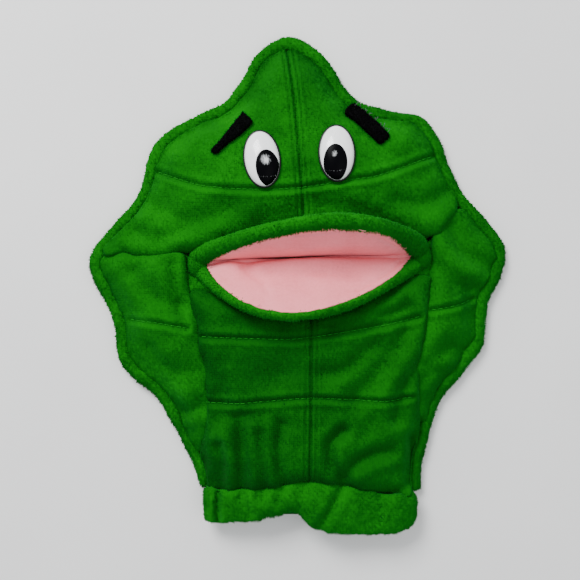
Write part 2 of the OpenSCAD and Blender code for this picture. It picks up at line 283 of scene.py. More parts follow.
def even_mesh(obj, voxel, levels):
    """Rebuilds a closed piece in even squares, then makes them finer and rounder."""
    remesh = obj.modifiers.new("even", "REMESH")
    remesh.mode = "VOXEL"
    remesh.voxel_size = voxel * MM
    settle(obj)
    if levels:
        finer(obj, levels)


def finer(obj, levels):
    """Makes a piece finer and rounder."""
    rounder = obj.modifiers.new("rounder", "SUBSURF")
    rounder.levels = rounder.render_levels = levels
    settle(obj)


def slab(name, outline, depth):
    """A flat block of cloth and padding with this outline."""
    bm = bmesh.new()
    ring = [bm.verts.new((x * MM, y * MM, 0)) for x, y in outline]
    base = bm.faces.new(ring)
    grown = bmesh.ops.extrude_face_region(bm, geom=[base], use_keep_orig=True)
    raised = [v for v in grown["geom"] if isinstance(v, bmesh.types.BMVert)]
    bmesh.ops.translate(bm, verts=raised, vec=(0, 0, depth * MM))
    bmesh.ops.recalc_face_normals(bm, faces=bm.faces)
    return from_bmesh(name, bm)


def fill(obj, cap_up, cap_side, pressure=4.0):
    """Swells a padded piece as its filling would, no point further than the caps."""
    before = get_points(obj)
    cloth = obj.modifiers.new("filling", "CLOTH")
    cloth.settings.effector_weights.gravity = 0
    cloth.settings.use_pressure = True
    cloth.settings.uniform_pressure_force = pressure
    for count in range(1, 21):
        scene.frame_set(count)
    settle(obj)
    scene.frame_set(1)
    moved = get_points(obj) - before
    flat = np.linalg.norm(moved[:, :2], axis=1)[:, None]
    moved[:, :2] *= np.minimum(1, cap_side / np.maximum(flat, 1e-6))
    moved[:, 2] = np.clip(moved[:, 2], -0.4, cap_up)
    set_points(obj, before + moved)


def enlarged(outline, d):
    """A closed outline, drawn clockwise, made d larger all round."""
    run = np.roll(outline, -1, axis=0) - np.roll(outline, 1, axis=0)
    run /= np.linalg.norm(run, axis=1)[:, None] + 1e-9
    return outline - d * np.stack([run[:, 1], -run[:, 0]], axis=1)


def crease(points, facing, line, depth, width):
    """Pulls the upper side down along a line, with a soft swell beside it."""
    away = gap_to(points[:, :2], smooth_line(line, 5)) / width
    points[:, 2] -= facing * depth * (np.exp(-away**2) - 0.36 * np.exp(-((away - 2.2) / 1.0) ** 2))


def painted_crease_shade(xy, creases):
    """How much painted shade darkens the pile along the creases, from 0 to 1."""
    crease_shade = np.zeros(len(xy))
    for line, depth, width in creases:
        away = gap_to(xy, smooth_line(line, 5)) / width
        crease_shade = np.maximum(crease_shade, np.exp(-away**2) * min(depth / 2.4, 1) * min((1.9 / width) ** 2, 1))
    return crease_shade


LEAN_X, LEAN_Y = 0.15, -0.5


def raise_pile(obj, length, seed, lowest=-0.3, spread=0.17, ground=None, creases=(), painted_shading=(0, 0, 0)):
    """Raises the cloth's pile: each small square becomes a tuft that leans the way it was brushed.

    Its last argument says how much lighter the pile is painted on the left, on the right and towards the
    tip; below zero it is painted shade.
    """
    before = len(obj.data.vertices)
    bm = bmesh.new()
    bm.from_mesh(obj.data)
    bm.normal_update()
    shown = [f for f in bm.faces if f.normal.z > lowest]
    bmesh.ops.poke(bm, faces=shown, offset=length * MM, center_mode="MEAN")
    mesh = bpy.data.meshes.new(obj.name)
    bm.to_mesh(mesh)
    bm.free()
    obj.data = mesh
    shade_smooth(obj)
    points = get_points(obj)
    draw = np.random.default_rng(seed)
    tips = np.arange(len(points)) >= before
    turn = 1.1 * wobble(points[:, :2], 60, seed) + 0.6 * wobble(points[:, :2], 22, seed + 1)
    away = np.stack([LEAN_X * np.cos(turn) - LEAN_Y * np.sin(turn),
                     LEAN_X * np.sin(turn) + LEAN_Y * np.cos(turn)], axis=1)
    points[:, :2] += np.where(tips, 1.0, 0.0)[:, None] * away
    points += draw.normal(0, 1, points.shape) * np.where(tips, spread, spread * 0.3)[:, None]
    if ground is not None:
        points[:, 2] = np.maximum(points[:, 2], ground)
    set_points(obj, points)
    # The pile is painted lighter and darker in patches that follow its lean, as painted sheen, and the last
    # argument adds painted shade by place.
    brushed = 0.5 + 0.4 * np.tanh(1.3 * wobble(points[:, :2], 34, seed + 2) + 0.8 * np.sin(turn))
    left, right, tip = painted_shading
    brushed += (np.interp(points[:, 0], (-60, 70), (left, right))
                + np.interp(points[:, 1], (100, 140), (0, tip)))
    # Each tuft's root is painted darker than its tip, as painted shade between the tufts.
    for name, value in (("tip", np.where(tips, 1.0, 0.35) * draw.uniform(0.6, 1.0, len(points))),
                        ("lay_sheen_and_shade", brushed), ("crease_shade", painted_crease_shade(points[:, :2], creases))):
        layer = mesh.attributes.new(name, "FLOAT", "POINT")
        layer.data.foreach_set("value", value.astype(np.float32))


def plush_finish(name, dark, middle, light):
    """Short dense pile: painted shade in its creases and at the roots of its tufts, lighter and yellower at
    the tips, with painted sheen and shade from the lay attribute.
    """
    cloth = Finish(name, Roughness=0.95, Specular_IOR_Level=0.08, Sheen_Weight=0.06, Sheen_Roughness=0.5,
                   Sheen_Tint=(0.15, 0.8, 0.15, 1))
    stretched = cloth.node("ShaderNodeMapping", {}, {"Vector": cloth.place, "Rotation": (0, 0, 0.25),
                                                     "Scale": (1.0, 0.24, 0.6)})
    hairs = cloth.noise(1000, 3, stretched, 0.6, 0.4)
    brushed = cloth.noise(38, 3, None, 0.55, 1.0)
    clumps = cloth.noise(170, 3, None, 0.6, 0.6)
    # The tip attribute's dark roots and the crease attribute are painted shade; the lay attribute carries
    # painted sheen and painted shade.
    shade = (cloth.attribute("tip") * 0.12 + cloth.attribute("lay_sheen_and_shade") * 0.24 + hairs * 0.36 + brushed * 0.20
             + clumps * 0.07 - cloth.attribute("crease_shade") * 0.18 - 0.02)
    cloth.give("Base Color", cloth.ramp(shade, [(0.02, dark), (0.46, middle), (1.0, light)]))
    cloth.bump(hairs + clumps * 0.3, 0.3, 0.0005)
    return cloth.material


green_plush = plush_finish("green_plush", (0.0002, 0.056, 0.0012), (0.0004, 0.116, 0.0028),
                           (0.0038, 0.228, 0.0080))


def finish_soft(obj, material, body="cover", nodes=()):
    """Gives a soft piece its material and body, and hides the CAD nodes that it stands for."""
    obj.data.materials.append(material)
    if body:
        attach(obj, body)
    if nodes:
        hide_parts(*nodes)


SEAM_OVERLAP = 2.1
bare_tops = []
quilting = []


def front_pad(name, outline, nodes, seams, quilts, wrinkles, swell, seed, painted_shading=(0, 0, 0)):
    """One padded panel of the front, from its outline to its brushed pile.

    Each seam, quilting line and wrinkle is its line, its depth and its width.
    """
    tall = 11
    creases = [*seams, *quilts, *wrinkles]
    pad = slab(name, enlarged(outline, SEAM_OVERLAP), tall)
    even_mesh(pad, 4.6, 0)
    points = get_points(pad)
    points[:, 2] = front_z(points[:, :2]) - PAD_T * (1 - points[:, 2] / tall)
    set_points(pad, points)
    fill(pad, swell, 0.8)
    finer(pad, 2)
    points, facing = get_points(pad), np.clip(get_normals(pad)[:, 2] * 1.6, 0, 1)
    for line, depth, width in creases:
        crease(points, facing, line, depth, width)
    flat = points[:, :2]
    points[:, 2] += facing * (0.9 * wobble(flat, 40, seed) + 0.35 * wobble(flat, 15, seed + 5))
    set_points(pad, points)
    # The panel's own edge is painted darker too, as painted shade along its seams.
    edge = [tuple(p) for p in np.vstack([outline, outline[:1]])[::4]]
    raise_pile(pad, 0.5, seed, creases=[*creases, (edge, 1.8, 2.4)], painted_shading=painted_shading)
    finish_soft(pad, green_plush, nodes=nodes)
    bare_tops.append(points)
    quilting.extend(line for line, depth, width in quilts)


def stitched(line, gap=3.2):
    """A sewn seam with a row of topstitching on each side of it."""
    rows = [(line, 2.1, 1.3)]
    for side in (-gap, gap):
        rows.append(([tuple(p) for p in inset(smooth_line(line, 3), side)], 1.1, 0.9))
    return rows


middle_top = [(-6.7, 147), (-2, 112), (1, 78), (4, 39)]
lip_above = [(-71, 21), (-62, 21), (-51, 23.5), (-38, 29), (-15, 35.5), (4, 38.5), (25, 40.5), (44, 39.5),
             (55, 36.5), (65, 33), (75, 31.5), (84, 31)]
cheek_left = [(-110, 22), (-90, 18), (-71, 21)]
cheek_right = [(84, 31), (92, 40), (98, 46)]
side_left = [(-71, 21), (-67, -3), (-62, -20), (-57, -51), (-54, -76)]
side_right = [(84, 31), (81, 6), (79, -14), (76, -33), (73, -60)]
throat = [(-67, -3), (-57, -4.5), (-43, -10.5), (-24, -17.5), (-5, -19.5), (8, -19.5), (26, -16), (42, -10),
          (57, -2.5), (70, 5), (81, 6)]
middle_low = [(8, -20), (8, -75), (7, -122)]
seam_left = smooth_line(side_left + [tuple(leaf_in[foot_l])])
seam_right = smooth_line(side_right + [tuple(leaf_in[foot_r])])

face_outline = np.vstack([leaf_in[cheek_l:cheek_r + 1], smooth_line(cheek_right)[::-1][1:],
                          smooth_line(lip_above)[::-1][1:], smooth_line(cheek_left)[::-1][1:-1]])
# The face's pile is painted darker towards the tip, as painted shade.
front_pad(
    "face_plush", face_outline,
    nodes=["face_left", "face_right", "face_padding_left", "face_padding_right", "tip_stuffing"],
    seams=stitched(middle_top),
    quilts=[([(-86, 70), (-60, 61), (-29, 58), (1, 59), (32, 64), (50, 67), (84, 80)], 1.7, 1.7)],
    wrinkles=[([(-82, 46), (-62, 40), (-40, 47)], 2.4, 6), ([(60, 52), (78, 50), (92, 58)], 2.0, 5),
              ([(-24, 118), (-20, 96), (-10, 88)], 1.2, 5), ([(44, 96), (52, 82), (66, 78)], 1.2, 5),
              ([(-100, 33), (-84, 30), (-70, 34)], 1.8, 5), ([(-76, 92), (-64, 84), (-58, 70)], 1.2, 6)],
    swell=3.6, seed=11, painted_shading=(0, 0, -1.1))

wing_left_outline = np.vstack([leaf_in[foot_l:cheek_l + 1], smooth_line(cheek_left)[1:], seam_left[1:-1]])
front_pad(
    "wing_left_plush", wing_left_outline, nodes=["wing_left", "wing_padding_left"], seams=[],
    quilts=[([(-103, -21), (-85, -23), (-67, -26)], 1.6, 1.6)],
    wrinkles=[([(-100, 8), (-88, -6), (-74, -12)], 2.2, 5), ([(-92, -38), (-80, -50), (-64, -52)], 1.6, 5),
              ([(-80, -74), (-70, -78), (-60, -74)], 1.8, 4), ([(-76, 12), (-73, -6), (-70, -22)], 2.2, 4)],
    swell=4.2, seed=23)

wing_right_outline = np.vstack([leaf_in[cheek_r:foot_r + 1], seam_right[::-1][1:],
                                smooth_line(cheek_right)[1:-1]])
front_pad(
    "wing_right_plush", wing_right_outline, nodes=["wing_right", "wing_padding_right"], seams=[],
    quilts=[([(82, -15), (98, -12), (109, -8)], 1.7, 1.7)],
    wrinkles=[([(94, 36), (104, 20), (120, 12)], 2.6, 5), ([(84, 14), (96, 2), (106, -2)], 2.0, 4.5),
              ([(80, -48), (94, -38), (108, -42)], 2.6, 5), ([(76, -58), (86, -54), (96, -62)], 2.0, 4),
              ([(74, -84), (82, -80), (88, -72)], 1.6, 3)],
    swell=4.2, seed=37)

# The belly is gathered into the cuff on the left, and an arched fold stands over the cuff on the right.
foot_seam = smooth_line([(-54, -125), (-49, -124.7), (-35, -123.2), (-15, -121.6), (-5, -118.5),
                         (4, -117.2), (21, -119), (46, -124.5), (66, -127.7), (70, -128.2)])
belly_outline = np.vstack([leaf_in[1:foot_l], seam_left[SPANS:][::-1], smooth_line(throat)[1:],
                           seam_right[SPANS + 1:], leaf_in[foot_r + 1:-1], foot_seam[::-1]])
gathers = [([(-36, -80), (-34, -101), (-34, -126)], 3.6, 4.2),
           ([(-23, -90), (-22, -106), (-20, -126)], 2.4, 3.4),
           ([(-10, -84), (-12, -104), (-7, -126)], 2.6, 3.6),
           ([(-48, -98), (-46, -110), (-47, -126)], 2.6, 3.4)]
arch = [([(26, -116), (20, -106), (20, -95), (27, -88)], 3.4, 3.2),
        ([(29, -122), (32, -111), (41, -104), (56, -100)], 3.4, 4.0),
        ([(70, -122), (71, -108), (70, -94)], 2.4, 2.8)]
# The belly's pile is painted darker, most on the left, as painted shade where it lies sunken under the
# lower lip.
front_pad(
    "belly_plush", belly_outline,
    nodes=["belly_left", "belly_right", "belly_padding_left", "belly_padding_right"],
    seams=stitched(middle_low),
    quilts=[([(-58, -31), (-29, -32), (1, -32), (47, -25), (74, -19)], 1.8, 1.7),
            ([(-56, -71), (-35, -71), (1, -68), (20, -68), (50, -70), (70, -68)], 1.8, 1.7)],
    wrinkles=[*gathers, *arch,
              ([(20, -25), (44, -24), (66, -12)], 2.2, 3.6), ([(36, -66), (56, -42), (70, -20)], 2.8, 5.5),
              ([(-44, -46), (-20, -54), (0, -48)], 1.6, 7), ([(14, -54), (30, -50), (48, -34)], 2.6, 5),
              ([(-46, -80), (-48, -60), (-58, -46)], 2.4, 5), ([(60, -80), (66, -60), (74, -48)], 2.6, 4)],
    swell=4.0, seed=51, painted_shading=(-1.6, -0.5, 0))

# ---------------------------------------------------------------------------------------------
# The flange. Front and back are sewn together, turned right side out, and stitched through again
# 8 mm in, which leaves a flat soft roll all round the leaf, a little pinched by the thread.


def roll(name, path, radius):
    """A soft round roll of cloth along a path."""
    line = bpy.data.curves.new(name, "CURVE")
    line.dimensions = "3D"
    line.bevel_depth = MM
    line.bevel_resolution = 5
    line.use_fill_caps = True
    spline = line.splines.new("POLY")
    spline.points.add(len(path) - 1)
    for point, place, r in zip(spline.points, path, np.broadcast_to(radius, len(path))):
        point.co = (*(np.array(place) * MM), 1)
        point.radius = r
    made = bpy.data.objects.new(name, line)
    scene.collection.objects.link(made)
    graph = bpy.context.evaluated_depsgraph_get()
    mesh = bpy.data.meshes.new_from_object(made.evaluated_get(graph))
    bpy.data.objects.remove(made)
    obj = bpy.data.objects.new(name, mesh)
    scene.collection.objects.link(obj)
    return obj


FLANGE_R = 4.3
flange_mid = inset(leaf_edge, FLANGE_R)
flange_mid = np.vstack([flange_mid[:1] + [0, -5], flange_mid, flange_mid[-1:] + [0.5, -6]])
run_along = np.concatenate([[0], np.cumsum(np.linalg.norm(np.diff(flange_mid, axis=0), axis=1))])
flange_path = np.column_stack([flange_mid, np.full(len(flange_mid), FLANGE_R)])
uneven = FLANGE_R + 0.2 * np.sin(run_along / 9) + 0.15 * np.sin(run_along / 3.7)
flange = roll("edge_flange_plush", flange_path, uneven)
even_mesh(flange, 2.3, 1)
points = get_points(flange)
points[:, 2] = np.clip((points[:, 2] - FLANGE_R) * 0.78 + 4.1, 0.9, None)
points[:, 2] += 0.5 * wobble(points[:, :2], 21, 5) * (points[:, 2] > 3)
set_points(flange, points)
raise_pile(flange, 1.0, 61, lowest=-2, ground=0.1, spread=0.36)
finish_soft(flange, green_plush, nodes=["edge_flange"])

# ---------------------------------------------------------------------------------------------
# The back. One panel of the same pile with thin padding behind it, flat where it lies.
back_outline = inset(leaf_edge, 7.6)
back_outline[0, 1] = back_outline[-1, 1] = FOOT_Y
tall, low, thick = 9, 0.9, 2.9
back = slab("back_plush", back_outline, tall)
even_mesh(back, 5.4, 0)
points = get_points(back)
points[:, 2] = low + points[:, 2] / tall * thick
set_points(back, points)
finer(back, 2)
points = get_points(back)
points[:, 2] += 0.3 * np.clip(wobble(points[:, :2], 40, 3), 0, 1)
set_points(back, points)
upside_down = Matrix.Scale(-1, 4, (0, 0, 1))
back.data.transform(upside_down)
back.data.flip_normals()
raise_pile(back, 0.6, 71, lowest=0.2)
back.data.transform(upside_down)
back.data.flip_normals()
points = get_points(back)
points[:, 2] = np.maximum(points[:, 2], 0.05)
set_points(back, points)
finish_soft(back, green_plush, nodes=["back_panel", "back_padding"])

# ---------------------------------------------------------------------------------------------
# The cuff. A doubled band of the same cloth sewn round the hand opening; its free edge is hitched
# up on the left, and a fold stands along its left side.
cuff_free = [(-63, -141), (-55, -145), (-36, -145), (-12, -141), (1, -138.5), (4, -144), (12, -150),
             (36, -152), (58, -151.5), (70, -148), (76, -140)]
CUFF_X, CUFF_HALF = 7.5, 66
cuff_under = -117
cuff_steps = 8
cuff_creases = [([(-49, -118), (-49, -150)], 2.8, 1.8), ([(29, -119), (21, -134), (12, -148)], 2.2, 2.6),
                ([(-33, -118), (-34, -130), (-30, -138)], 1.6, 3), ([(-8, -118), (-12, -130)], 1.4, 3),
                ([(46, -119), (52, -130), (50, -142)], 1.0, 4), ([(-18, -119), (-22, -128)], 1.2, 3)]
cuff = bmesh.new()
bmesh.ops.create_circle(cuff, segments=96, radius=1)
for v in cuff.verts:
    x, y = v.co.x, v.co.y
    v.co.x = math.copysign(abs(x) ** 0.75, x)
    v.co.y = 0
    v.co.z = math.copysign(abs(y) ** 0.8, y)
edge = list(cuff.edges)
for step in range(cuff_steps):
    grown = bmesh.ops.extrude_edge_only(cuff, edges=edge)["geom"]
    verts = [g for g in grown if isinstance(g, bmesh.types.BMVert)]
    edge = [g for g in grown if isinstance(g, bmesh.types.BMEdge) and all(v in verts for v in g.verts)]
    bmesh.ops.translate(cuff, verts=verts, vec=(0, -1 / cuff_steps, 0))
bmesh.ops.recalc_face_normals(cuff, faces=cuff.faces)
free_line = smooth_line(cuff_free, 6)
for v in cuff.verts:
    x, down = CUFF_X + CUFF_HALF * v.co.x, -v.co.y
    low = np.interp(x, free_line[:, 0], free_line[:, 1])
    sewn = np.interp(x, foot_seam[:, 0], foot_seam[:, 1]) + 0.5
    on_top = min(max(2 * v.co.z + 1.5, 0), 1)
    high = cuff_under + (sewn - cuff_under) * on_top
    tuck = 1 - 0.10 * (1 - down) ** 2
    height = (10.6 - 1.2 * down) * (1 + 0.10 * math.sin(down * math.pi))
    v.co = (x * MM, (high + (low - high) * down) * MM, (12.2 + height * v.co.z * tuck) * MM)
cuff = from_bmesh("cuff_plush", cuff)
wall = cuff.modifiers.new("doubled", "SOLIDIFY")
wall.thickness = 4.2 * MM
wall.offset = -1
settle(cuff)
even_mesh(cuff, 2.6, 0)
fill(cuff, 1.6, 1.2, 3.0)
finer(cuff, 1)
points, facing = get_points(cuff), np.clip(get_normals(cuff)[:, 2] * 1.6, 0, 1)
for line, depth, width in cuff_creases:
    crease(points, facing, line, depth, width)
points[:, 2] += facing * (0.8 * wobble(points[:, :2], 26, 81) + 0.3 * wobble(points[:, :2], 9, 82))
set_points(cuff, points)
raise_pile(cuff, 0.8, 83, lowest=-2, ground=0.1, spread=0.3)
finish_soft(cuff, green_plush, nodes=["cuff_band"])

# ---------------------------------------------------------------------------------------------
# The mouth. Two stiff boards covered in pink cotton meet on one fold of the cloth, where the lower
# half's cloth rides up in a loose tuck. The cotton is cut raw, and its weave is fine and a little
# rubbed.
MOUTH_A, MOUTH_B = 63, 42
FOLD_X, FOLD_Y, FOLD_Z = 7, 16, 16
mouth_turn = math.radians(2)
jaws = {"upper": {"lean": 23, "side": 1, "body": "upper_jaw", "form": (1.4, 0.34, 0.95), "thick": 8.5,
                  "plump": 0.5, "loose": (0.172, 0.039), "loose_area": 0.0041,
                  "creases": [((20, 45, 70, 100), 0.9, 1.2)]},
        "lower": {"lean": 46, "side": -1, "body": "lower_jaw", "form": (1.5, -0.24, 1.0), "thick": 6.5,
                  "plump": -0.2, "loose": (0.222, 0.034), "loose_area": 0.0042,
                  "creases": [((14, 30, 48, 62), 0.9, 1.3)]}}
corner_crease = [(-40, 6), (-30, 16), (-26, 26)]


def at_mouth(x, out, up):
    """Takes places measured from the middle of the mouth's fold to their place in the frame."""
    return np.stack([FOLD_X + x * math.cos(mouth_turn) - out * math.sin(mouth_turn),
                     FOLD_Y + x * math.sin(mouth_turn) + out * math.cos(mouth_turn), FOLD_Z + up], axis=1)


def in_jaw(jaw, points):
    """Takes points on a jaw's own plan (x along the fold, y to its edge, z inwards) to their place."""
    lean = math.radians(jaw["lean"])
    x, y, z = np.array(points, float).T
    out = jaw["side"] * (y * math.sin(lean) - z * math.cos(lean))
    return at_mouth(x, out, y * math.cos(lean) + z * math.sin(lean))


def rim(jaw, angle, grow=0.0):
    """A point on the edge of a jaw's plan."""
    a = math.radians(angle)
    power, fuller, deep = jaw["form"]
    return ((MOUTH_A + grow) * math.cos(a),
            (MOUTH_B + grow) * deep * max(math.sin(a), 0) ** power * (1 + fuller * math.cos(a)))


pink_cloth = Finish("pink_cloth", Roughness=0.9, Specular_IOR_Level=0.15, Sheen_Weight=0.05)
weave = [pink_cloth.node("ShaderNodeTexWave", {"bands_direction": way},
                         {"Vector": pink_cloth.place, "Scale": 420, "Distortion": 1.5, "Detail": 1}, "Fac")
         for way in "XY"]
rub = pink_cloth.noise(45, 4, None, 0.6)
lint = pink_cloth.noise(650, 2)
tone = rub * 0.55 + lint * 0.25 + (weave[0] + weave[1]) * 0.08
pink_cloth.give("Base Color", pink_cloth.ramp(tone, [(0.2, (0.70, 0.18, 0.205)), (0.5, (0.87, 0.255, 0.29)),
                                                     (0.85, (0.92, 0.33, 0.36))]))
pink_cloth.bump(weave[0] * 0.5 + weave[1] * 0.5 + lint, 0.3, 0.0004)

for half, jaw in jaws.items():
    draw = np.random.default_rng(900 + jaw["side"])
    plan = [rim(jaw, angle, 0.2 + draw.uniform(-0.3, 0.5)) for angle in np.linspace(0, 180, 121)]
    tall, under, thick = 6, -1.4, 1.5
    cloth = slab(half + "_palate_cloth", [(x, max(y, 1.0)) for x, y in plan], tall)
    even_mesh(cloth, 1.3, 1)
    points = get_points(cloth)
    across, up = points[:, 0], points[:, 1]
    middle = 1 - np.minimum(np.abs(across) / 60, 1) ** 4
    creases = [([rim(jaw, angle, -5) for angle in angles], depth, width)
               for angles, depth, width in jaw["creases"]]
    if half == "lower":
        tuck = 5.0 * np.exp(-((up - 5.0) / 5.0) ** 2) * middle * (0.75 + 0.25 * np.sin(across / 12 + 1)
                                                                  - 0.4 * across / 60)
        tuck *= 1 - 0.85 * np.exp(-((across + 38) / 5.5) ** 2)
        creases.append((corner_crease, 0.9, 3))
    else:
        bulge = 1.4 * np.exp(-((up - 18) / 9) ** 2)
        tuck = (bulge - (1.8 - across / 60) * np.exp(-(up / 4.5) ** 2)) * middle
    puff = tuck + 0.7 * wobble(points[:, :2], 34, 91) + 0.3 * wobble(points[:, :2], 13, 95)
    for line, depth, width in creases:
        puff -= depth * np.exp(-(gap_to(points[:, :2], smooth_line(line)) / width) ** 2)
    points[:, 2] = under + points[:, 2] / tall * (thick + puff)
    set_points(cloth, in_jaw(jaw, points))
    if half == "lower":
        cloth.data.flip_normals()
    shade_smooth(cloth)
    finish_soft(cloth, pink_cloth.material, jaw["body"], [half + "_palate"])

along = np.linspace(-63.5, 63.5, 50)
fold_line = at_mouth(along, 0.3 * np.sin(along / 9), -0.3 + 0.2 * np.sin(along / 7))
fold = roll("mouth_fold_cloth", fold_line, 1.5)
even_mesh(fold, 0.9, 0)
shade_smooth(fold)
finish_soft(fold, pink_cloth.material, "cover", ["mouth_fold"])

# ---------------------------------------------------------------------------------------------
# The lips. A roll of plush edges each half of the mouth, the upper one fatter, both fuller at the
# corners, where a knot of the cloth joins them. Its edge is turned in behind the board as a flat hem.
for half, jaw in jaws.items():
    thick = jaw["thick"]
    path, radii = [], []
    for angle in np.linspace(0, 180, 50):
        end = abs(math.cos(math.radians(angle))) ** 6
        x, y = rim(jaw, angle, -0.6)
        path.append((x + math.copysign(4.6 * end, x), y + 0.6, -thick / 2 - 0.3))
        radii.append(thick / 2 + jaw["plump"] + 1.9 * end + 0.25 * math.sin(angle / 9))
    lip = roll(half + "_lip_roll", in_jaw(jaw, path), radii)
    even_mesh(lip, 2.0, 1)
    # The lips' pile is painted lighter all along.
    raise_pile(lip, 0.8, 101 + jaw["side"], lowest=-2, spread=0.36, painted_shading=(0.45, 0.45, 0))
    finish_soft(lip, green_plush, jaw["body"], [half + "_lip"])

    outer, inner, thin, behind = -1.2, -13, 1.6, 5.1
    turned_in = [rim(jaw, angle, outer) for angle in np.linspace(2, 178, 60)]
    turned_in += [rim(jaw, angle, inner) for angle in np.linspace(178, 2, 60)]
    hem = slab(half + "_lip_hem", turned_in, thin)
    even_mesh(hem, 0.9, 0)
    points = get_points(hem)
    points[:, 2] -= behind
    set_points(hem, in_jaw(jaw, points))
    if half == "lower":
        hem.data.flip_normals()
    raise_pile(hem, 0.4, 105 + jaw["side"], lowest=-2, spread=0.12)
    finish_soft(hem, green_plush, jaw["body"])

KNOT_X, KNOT_Y, KNOT_Z = 6.5, 8.5, 6
for name, side in (("left", -1), ("right", 1)):
    knot = bmesh.new()
    bmesh.ops.create_icosphere(knot, subdivisions=4, radius=1)
    for v in knot.verts:
        v.co = (v.co.x * KNOT_X * MM, v.co.y * KNOT_Y * MM, v.co.z * KNOT_Z * MM)
    knot = from_bmesh("mouth_corner_" + name, knot)
    place = at_mouth(np.array([68.5 * side]), np.array([-0.5]), np.array([-0.5]))[0]
    knot.data.transform(Matrix.Translation(Vector(place * MM)))
    even_mesh(knot, 1.9, 1)
    raise_pile(knot, 0.7, 107 + side, lowest=-2, spread=0.24)
    finish_soft(knot, green_plush)

# ---------------------------------------------------------------------------------------------
# The lip cloths. Loose plush runs on from the face and the belly, in under each lip, and up to the
# back of it.


def evenly(line, count):
    """The same line in equal steps."""
    length = np.concatenate([[0], np.cumsum(np.linalg.norm(np.diff(line, axis=0), axis=1))])
    at = np.linspace(0, length[-1], count)
    return np.stack([np.interp(at, length, line[:, k]) for k in range(line.shape[1])], axis=1)


for half, jaw in jaws.items():
    if half == "upper":
        low = smooth_line(lip_above, 8)
    else:
        low = np.vstack([smooth_line(side_left[:2], 8)[:-1], smooth_line(throat, 8),
                         smooth_line(side_right[:2], 8)[::-1][1:]])
    low = evenly(low, 60)
    high = in_jaw(jaw, [(*rim(jaw, a, -3), -0.95 * jaw["thick"]) for a in np.linspace(180, 0, 60)])
    spine = np.stack([np.clip(low[:, 0], FOLD_X - 47, FOLD_X + 47), np.full(60, FOLD_Y)], axis=1)
    inwards = (spine - low) / np.linalg.norm(spine - low, axis=1)[:, None]
    level = front_z(low)
    rows = [np.column_stack([low - 3 * inwards, level - 4.6]),
            np.column_stack([low + 0.5 * inwards, level - 4]),
            np.column_stack([low + 0.8 * (high[:, :2] - low), np.minimum(level + 1, high[:, 2] + 2)]),
            high]
    skirt = bmesh.new()
    loops = []
    for row in rows:
        row = [skirt.verts.new(p * MM) for p in row]
        loops.append([skirt.edges.new(pair) for pair in zip(row, row[1:])])
    for first, second in zip(loops, loops[1:]):
        bmesh.ops.bridge_loops(skirt, edges=first + second)
    bmesh.ops.recalc_face_normals(skirt, faces=skirt.faces)
    skirt = from_bmesh(half + "_lip_cloth", skirt)
    finer(skirt, 1)
    wall = skirt.modifiers.new("cloth", "SOLIDIFY")
    wall.thickness = 2.2 * MM
    wall.offset = 0
    settle(skirt)
    even_mesh(skirt, 1.2, 0)
    raise_pile(skirt, 0.6, 111 + jaw["side"], lowest=-0.6, spread=0.22)
    finish_soft(skirt, green_plush, None)
    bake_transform(skirt)

# ---------------------------------------------------------------------------------------------
# The thread. Green thread shows in the quilting, and a few ends of pink thread have come loose
# along the raw edge of the mouth's cloth.
front_cloud = np.vstack(bare_tops)


def top_at(xy, reach=2.0):
    """The height of the padded front at each place."""
    xy = np.array(xy, float)
    half_box = np.ptp(xy, axis=0) / 2 + reach + 1
    cloud = front_cloud[np.all(np.abs(front_cloud[:, :2] - xy.mean(axis=0)) < half_box, axis=1)]
    found = []
    for x, y in xy:
        near = np.hypot(cloud[:, 0] - x, cloud[:, 1] - y) < reach
        found.append(cloud[near, 2].max() if near.any() else 12.0)
    return np.array(found)


def joined(name, pieces):
    """Several small pieces as one mesh."""
    whole = bmesh.new()
    for piece in pieces:
        whole.from_mesh(piece.data)
        bpy.data.objects.remove(piece)
    obj = from_bmesh(name, whole)
    shade_smooth(obj)
    return obj


def thread_finish(name, dark, light):
    """Dull spun thread, from its dark side to its light one."""
    thread = Finish(name, Roughness=0.9, Specular_IOR_Level=0.08)
    thread.give("Base Color", thread.ramp(thread.noise(800, 2), [(0.3, dark), (0.7, light)]))
    return thread.material


stitches = []
for line in quilting:
    line = smooth_line(line, 12)
    length = np.linalg.norm(np.diff(line, axis=0), axis=1).sum()
    line = evenly(line, int(length / 0.9))
    for first in range(0, len(line) - 3, 4):
        stitch = line[first:first + 4]
        height = top_at(stitch, 1.3) + 0.1 + np.array([-0.3, 0.12, 0.12, -0.3])
        stitches.append(roll("stitch", np.column_stack([stitch, height]), 0.22))
quilt_thread = joined("quilt_thread", stitches)
green_thread = thread_finish("green_thread", (0.003, 0.12, 0.005), (0.014, 0.21, 0.014))
quilt_thread.data.materials.append(green_thread)
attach(quilt_thread, "cover")

pink_thread = thread_finish("pink_thread", (0.55, 0.20, 0.21), (0.72, 0.34, 0.34))
loose = {"upper": [(146, 4, 0.5), (139, 4, -0.4), (78, 4, 0.3), (64, 5, 0.9), (24, 3, -0.6)],
         "lower": [(168, 3, 0.6), (120, 3, 0.4), (30, 3, -0.4)]}
for half, ends in loose.items():
    jaw = jaws[half]
    pieces = []
    for angle, reach, bend in ends:
        x, y = rim(jaw, angle, 0.2)
        t = np.linspace(0, 1, 7)
        hook = np.stack([x + reach * (bend * t + 0.35 * np.sin(t * 3.2)),
                         y + reach * (0.5 * t - 0.6 * t**2),
                         0.5 + 1.6 * np.sin(t * 2.6)], axis=1)
        pieces.append(roll("end", in_jaw(jaw, hook), 0.13))
    ends = joined(half + "_loose_thread", pieces)
    ends.data.materials.append(pink_thread)
    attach(ends, jaw["body"])

